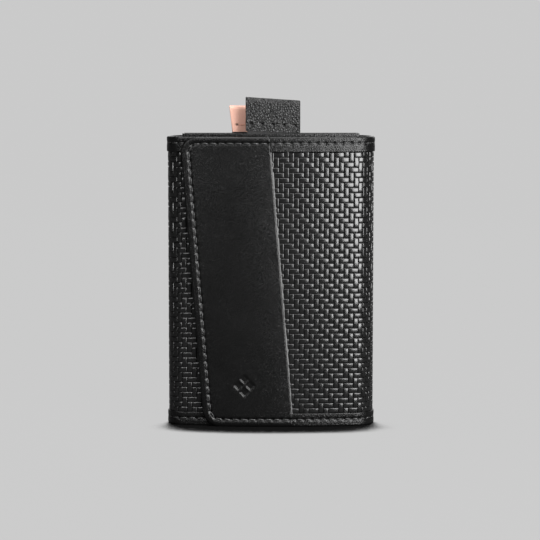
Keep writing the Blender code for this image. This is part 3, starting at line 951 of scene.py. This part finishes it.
def make_pull(name, bulge, trim, lean, looks):
    """A folded tab with its stitches, and its ribbon. looks are leather, thread and ribbon."""
    leather_look, thread_look, ribbon_look = looks
    body = name + "_pull"
    low_corner, high_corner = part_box(name + "_tab")
    width, middle = high_corner.x - low_corner.x, (low_corner.x + high_corner.x) / 2
    bottom, top = low_corner.z + trim[0], high_corner.z - trim[1]
    line = loop_line(low_corner.y, high_corner.y, bottom, top, bulge)
    shift, skew, droop, tilt = lean
    shape = Strap(middle + shift, line, skew, droop, tilt)
    inset = width * 0.10
    pitch = (width - 2 * inset) / TAB_STITCHES
    front = [(-width / 2 + inset + pitch * i, TAB_STITCH) for i in range(TAB_STITCHES + 1)]
    back = [(x, shape.length - TAB_STITCH) for x, _ in front]
    tab = strap(
        name + "_tab_loop", shape, width, TAB_LEATHER, leather_look, body,
        front + back, FINE_GRID,
    )
    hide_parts(name + "_tab")
    for side, holes in (("front", front), ("back", back)):
        row = stitches(f"{name}_tab_{side}_stitching", shape, holes, thread_look, SEWN_DEPTH)
        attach(row, body)
    low_corner, high_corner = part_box(name + "_ribbon")
    y = low_corner.y
    shape = Strap(middle, [(y, low_corner.z), (y, high_corner.z + RIBBON_REACH)])
    ribbon = strap(
        name + "_pull_ribbon", shape, width - 0.001, RIBBON, ribbon_look, body,
        step=COARSE_GRID,
    )
    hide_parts(name + "_ribbon")


def dress_nodes(materials):
    """Better materials for the CAD nodes that stay, and meshes of their own for the lift loops."""
    chosen = {
        "magnet": "steel", "lift_loop": "loop", "floor": "floor",
        "front_loop_anchor": "patch", "rear_loop_anchor": "rose_patch",
    }
    for name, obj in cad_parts.items():
        for word, key in chosen.items():
            if word in name:
                obj.data.materials.clear()
                obj.data.materials.append(materials[key])
    for name in ("front", "rear"):
        joint, loop = name + "_tab_pull", name + "_lift_loop"
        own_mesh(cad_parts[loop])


# Stage, lights and camera


def make_stage():
    """A pale floor that curves up into a backdrop, with a painted shadow where something stands on
    it.
    """
    wide, front, back, tall, curve = 3.0, -3.0, 1.6, 2.6, 0.5
    turns = np.linspace(0, math.pi / 2, 16)
    line = [(back - curve + curve * math.sin(a), curve - curve * math.cos(a)) for a in turns]
    line = [(front, 0.0), *line, (back, tall)]
    points = [(x, y, z) for y, z in line for x in (-wide, wide)]
    faces = [(2 * i, 2 * i + 1, 2 * i + 3, 2 * i + 2) for i in range(len(line) - 1)]
    mesh = bpy.data.meshes.new("studio_sweep")
    mesh.from_pydata(points, [], faces)
    mesh.shade_smooth()
    material, tree, shader = new_material("studio_paper")
    shader.inputs["Base Color"].default_value = (0.005, 0.005, 0.005, 1)
    shader.inputs["Roughness"].default_value = 0.95
    shader.inputs["Specular IOR Level"].default_value = 0.0
    shader.inputs["Emission Color"].default_value = (1, 1, 1, 1)
    glossy = node(tree, "ShaderNodeLightPath").outputs["Is Glossy Ray"]
    glow = remap(tree, glossy, STAGE_GLOW, REFLECTED_GLOW)
    # Painted shadow: the paper's glow is dimmed where its view toward the back is blocked
    toward_back = node(tree, "ShaderNodeCombineXYZ", {"Y": 1.0, "Z": 0.05}).outputs["Vector"]
    inputs = {"Distance": 0.016, "Normal": toward_back}
    seen = node(tree, "ShaderNodeAmbientOcclusion", inputs, samples=16).outputs["AO"]
    inputs = {"Value": seen, "From Min": 0.70, "From Max": 0.84}
    lit = node(tree, "ShaderNodeMapRange", inputs, interpolation_type="SMOOTHSTEP")
    light = math_node(tree, "MULTIPLY", glow, lit.outputs["Result"])
    tree.links.new(light, shader.inputs["Emission Strength"])
    mesh.materials.append(material)
    sweep = bpy.data.objects.new("studio_sweep", mesh)
    bpy.context.scene.collection.objects.link(sweep)
    sweep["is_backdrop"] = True


def area_light(name, azimuth, elevation, distance, size, power):
    """A softbox that faces the wallet. Azimuth 0 is in front and 90 to the right."""
    light = bpy.data.lights.new(name, "AREA")
    light.shape = "RECTANGLE"
    light.size, light.size_y = size
    light.energy = power
    holder = bpy.data.objects.new(name, light)
    a, e = math.radians(azimuth), math.radians(elevation)
    away = Vector((math.sin(a) * math.cos(e), -math.cos(a) * math.cos(e), math.sin(e)))
    holder.location = Vector((0, 0, HEIGHT / 2)) + away * distance
    holder.rotation_euler = (-away).to_track_quat("-Z", "Y").to_euler()
    holder.visible_camera = False
    bpy.context.scene.collection.objects.link(holder)


def make_lights():
    for name, settings in SOFTBOXES.items():
        area_light(name, *settings)
    world = bpy.data.worlds.new("studio")
    world.use_nodes = True
    tree = world.node_tree
    background = tree.nodes["Background"]
    background.inputs["Color"].default_value = (1, 1, 1, 1)
    seen = node(tree, "ShaderNodeLightPath").outputs["Is Camera Ray"]
    tree.links.new(remap(tree, seen, WORLD_GLOW, STAGE_GLOW), background.inputs["Strength"])
    bpy.context.scene.world = world


def make_camera():
    """Straight in front and slightly above, at the distance that gives the right perspective."""
    camera = bpy.data.cameras.new("camera")
    camera.sensor_width = SENSOR
    camera.lens = SENSOR * CAMERA_DISTANCE / FRAME_WIDTH
    camera.clip_start, camera.clip_end = 0.01, 20
    holder = bpy.data.objects.new("camera", camera)
    holder.location = (AIM_X, -CAMERA_DISTANCE - DEPTH / 2, CAMERA_HEIGHT)
    aim = Vector((AIM_X, -DEPTH / 2, AIM_HEIGHT))
    holder.rotation_euler = (aim - holder.location).to_track_quat("-Z", "Y").to_euler()
    bpy.context.scene.collection.objects.link(holder)
    bpy.context.scene.camera = holder


make_camera()
make_lights()
make_stage()
bpy.context.scene.view_settings.view_transform = "Standard"
looks = make_materials()
make_shell(looks)
make_tip(looks["smooth"], looks["edge"], looks["thread"])
make_pockets(looks)
make_pull(
    "front", bulge=0.00045, trim=(0.0003, 0.0012), lean=(0, 0.0, 3.1, 0.032),
    looks=(looks["tab"], looks["thread"], looks["ribbon"]),
)
make_pull(
    "rear", bulge=0.00020, trim=(0, 0), lean=(0.0006, -0.12, 0.0, 0.0),
    looks=(looks["rose"], looks["rose_thread"], looks["ribbon"]),
)
dress_nodes(looks)

low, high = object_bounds()
